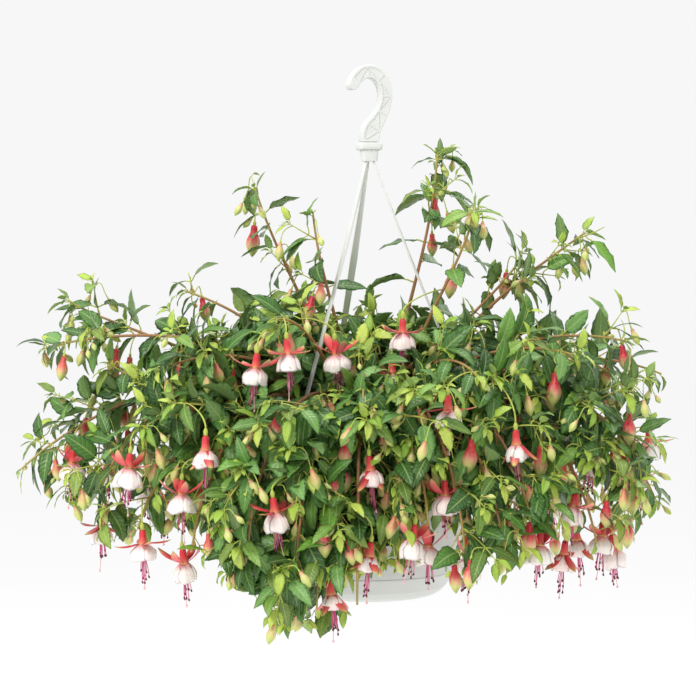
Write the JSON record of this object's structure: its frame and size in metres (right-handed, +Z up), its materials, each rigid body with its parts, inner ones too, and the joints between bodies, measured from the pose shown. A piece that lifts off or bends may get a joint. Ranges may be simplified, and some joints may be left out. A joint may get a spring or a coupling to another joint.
{
  "type": "fuchsia in a hanging basket",
  "caption": "Trailing fuchsia with drooping red and white flowers in a round white plastic hanging pot, held by a three-strap hanger that ends in a ribbed open hook.",
  "frame": {"origin": "the point inside the hook's arch that rests on whatever the basket hangs from", "axes": "+Z up along the pot axis, -Y towards the front, +X to the right seen from the front"},
  "size_m": [0.744, 0.587, 0.5928],
  "materials": {
    "hanger_plastic": "white, semi-gloss",
    "pot_plastic": "white, satin",
    "compost": "dark, moist, crumbly",
    "foliage": "waxy satin leaf, matt reddish-brown stem",
    "petal": "thin soft petal, red tube and sepals, white corolla"
  },
  "bodies": {
    "root": {"hanger_hook": "hanger_plastic", "hanger_collar": "hanger_plastic", "hanger_strap_right": "hanger_plastic", "hanger_strap_back": "hanger_plastic", "hanger_strap_front": "hanger_plastic", "pot": "pot_plastic", "drip_saucer": "pot_plastic", "root_ball": "compost", "shoot_right_low": "foliage", "shoot_right_outer": "foliage", "shoot_right_upper": "foliage", "shoot_right_upright": "foliage", "shoot_right_back": "foliage", "shoot_right_front_low": "foliage", "shoot_right_front_outer": "foliage", "shoot_right_front_upper": "foliage", "shoot_front_right_low": "foliage", "shoot_front_right_hanging": "foliage", "shoot_front_right_upper": "foliage", "shoot_front_low": "foliage", "shoot_front_middle": "foliage", "shoot_front_left_low": "foliage", "shoot_front_left_upper": "foliage", "shoot_front_left_hanging": "foliage", "shoot_left_front_low": "foliage", "shoot_left_front_upper": "foliage", "shoot_left_front_outer": "foliage", "shoot_left_low": "foliage", "shoot_left_outer": "foliage", "shoot_left_rising": "foliage", "shoot_left_upper": "foliage", "shoot_left_upright": "foliage", "shoot_middle_left_upright": "foliage", "shoot_middle_right_upright": "foliage", "shoot_middle_front_upright": "foliage", "shoot_middle_back_upright": "foliage", "shoot_back_right_low": "foliage", "shoot_back_right_upper": "foliage", "shoot_back_low": "foliage", "shoot_back_left_upper": "foliage", "shoot_back_left_low": "foliage", "shoot_back_left_outer": "foliage", "flower_01": "petal", "flower_02": "petal", "flower_03": "petal", "flower_04": "petal", "flower_05": "petal", "flower_06": "petal", "flower_07": "petal", "flower_08": "petal", "flower_09": "petal", "flower_10": "petal", "flower_11": "petal", "flower_12": "petal", "flower_13": "petal", "flower_14": "petal", "flower_15": "petal", "flower_16": "petal"}
  },
  "joints": []
}
